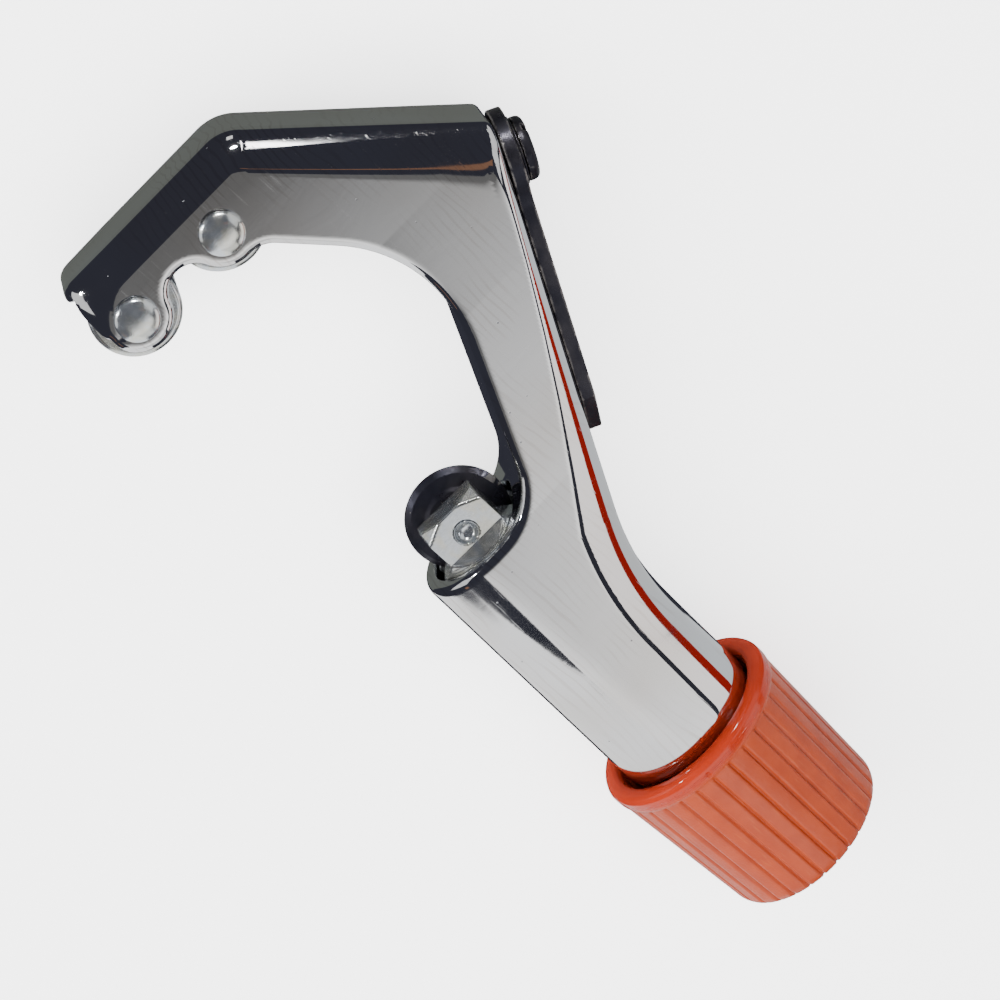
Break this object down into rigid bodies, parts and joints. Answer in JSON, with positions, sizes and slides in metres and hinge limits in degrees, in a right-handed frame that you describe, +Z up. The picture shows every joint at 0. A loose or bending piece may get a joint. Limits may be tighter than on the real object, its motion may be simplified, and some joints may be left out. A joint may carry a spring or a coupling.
{
  "type": "pipe and tubing cutter",
  "caption": "Enclosed-feed tubing cutter: chromed C-frame with rollers, sliding cutter wheel, ribbed feed knob and a fold-out reamer on its back.",
  "frame": {"origin": "middle of the tool's footprint, on the ground plane under it, as it lies on its side", "axes": "+X along the feed axis from the rollers to the knob, +Y from the feed axis towards the spine of the C-frame, +Z up through the frame's thickness"},
  "size_m": [0.1636, 0.0712, 0.0355],
  "materials": {
    "chrome": "bright chrome plate",
    "zinc": "zinc plate",
    "steel": "machined",
    "black_oxide": "black oxide",
    "orange": "moulded, satin"
  },
  "bodies": {
    "frame": {"frame": "chrome", "roller_pin_lower": "zinc", "roller_pin_upper": "zinc", "roller_clip_lower": "black_oxide", "roller_clip_upper": "black_oxide", "slide_key": "black_oxide", "thrust_washer": "steel", "tube_bushing": "steel", "reamer_pivot_screw": "black_oxide"},
    "roller_lower": {"roller_lower": "zinc"},
    "roller_upper": {"roller_upper": "zinc"},
    "slide": {"feed_slide": "zinc", "wheel_pin": "zinc", "wheel_pin_clip": "black_oxide"},
    "wheel": {"cutter_wheel": "black_oxide"},
    "knob": {"knob_shell": "orange", "knob_hub": "steel", "knob_cross_pin": "steel", "knob_end_cap": "orange", "feed_screw": "steel", "knob_washer": "steel"},
    "reamer": {"reamer_blade": "black_oxide", "reamer_washer": "black_oxide"}
  },
  "joints": [
    {"name": "knob_turn", "type": "hinge", "parent": "frame", "child": "knob", "pos_m": [0.0636, -0.01782, 0.01777], "axis": [1, 0, 0], "range_deg": [0, 6916]},
    {"name": "slide_feed", "type": "slide", "parent": "frame", "child": "slide", "axis": [-1, 0, 0], "range_m": [0, 0.048]},
    {"name": "wheel_spin", "type": "hinge", "parent": "slide", "child": "wheel", "pos_m": [-0.0064, -0.01782, 0.01777], "axis": [0, 0, 1], "continuous": true},
    {"name": "roller_lower_spin", "type": "hinge", "parent": "frame", "child": "roller_lower", "pos_m": [-0.0712, -0.02722, 0.01777], "axis": [0, 0, 1], "continuous": true},
    {"name": "roller_upper_spin", "type": "hinge", "parent": "frame", "child": "roller_upper", "pos_m": [-0.0712, -0.00842, 0.01777], "axis": [0, 0, 1], "continuous": true},
    {"name": "reamer_swing", "type": "hinge", "parent": "frame", "child": "reamer", "pos_m": [-0.04503, 0.02905, 0.01777], "axis": [0.4472, 0.8944, 0], "range_deg": [0, 180]}
  ],
  "couplings": [
    {"joint": "knob_turn", "follows": "slide_feed", "rad_per_m": 2513.3}
  ]
}
